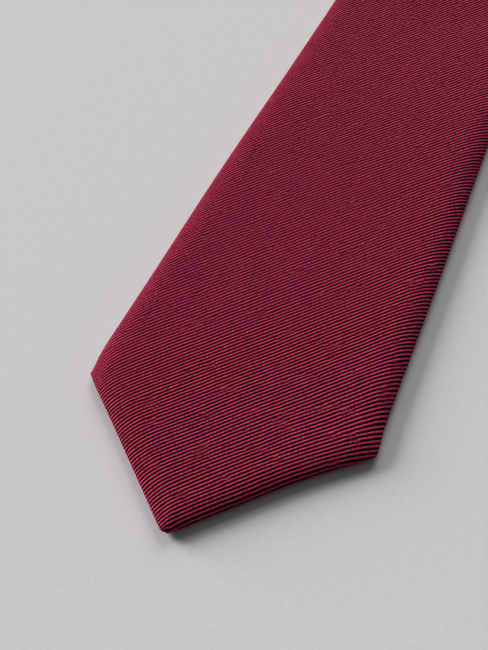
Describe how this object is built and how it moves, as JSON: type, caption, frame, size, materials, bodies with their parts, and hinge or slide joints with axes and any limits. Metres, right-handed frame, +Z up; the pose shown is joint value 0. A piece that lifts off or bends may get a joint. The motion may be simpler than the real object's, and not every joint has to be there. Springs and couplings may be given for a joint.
{
  "type": "necktie",
  "caption": "Ribbed silk necktie with a pointed wide blade, lying face up and folded at the neck, its narrow tail fanned out beneath.",
  "frame": {"origin": "under the middle of the whole tie as it lies, on the surface it lies on", "axes": "+Z up; the front tip points along -Y and the fold at the neck is at the +Y end; the tail fans towards +X"},
  "size_m": [0.1248, 0.8712, 0.0168],
  "materials": {
    "silk": "burgundy ribbed silk with a soft satin sheen",
    "tipping": "plain smooth satin lining",
    "interlining": "brushed off-white wool blend",
    "thread": "matt sewing thread",
    "label": "blank woven satin label"
  },
  "bodies": {
    "upper_blade": {"front_blade_upper": "silk", "neck_front": "silk", "interlining_upper": "interlining", "slip_stitch_upper": "thread"},
    "front_blade": {"front_blade_lower": "silk", "interlining_lower": "interlining", "front_tipping": "tipping", "slip_stitch_lower": "thread", "front_bar_tack": "thread", "keeper_loop": "silk", "keeper_tack_left": "thread", "keeper_tack_right": "thread", "maker_label": "label"},
    "tail": {"neck_rear": "silk", "tail_blade": "silk", "interlining_tail": "interlining", "tail_tipping": "tipping", "slip_stitch_tail": "thread", "tail_bar_tack": "thread"},
    "care_label": {"care_label": "label"}
  },
  "joints": [
    {"name": "blade_lift", "type": "hinge", "parent": "upper_blade", "child": "front_blade", "pos_m": [-0.02244, -0.08562, 0.0205], "axis": [-1, 0, 0], "range_deg": [0, 90]},
    {"name": "neck_fold", "type": "hinge", "parent": "upper_blade", "child": "tail", "pos_m": [-0.02288, 0.43476, 0.0084], "axis": [0.9986, 0.0523, 0], "range_deg": [0, 179]},
    {"name": "label_flip", "type": "hinge", "parent": "tail", "child": "care_label", "pos_m": [0.02696, -0.03327, 0.0055], "axis": [-0.9945, -0.1045, 0], "range_deg": [0, 150]}
  ]
}
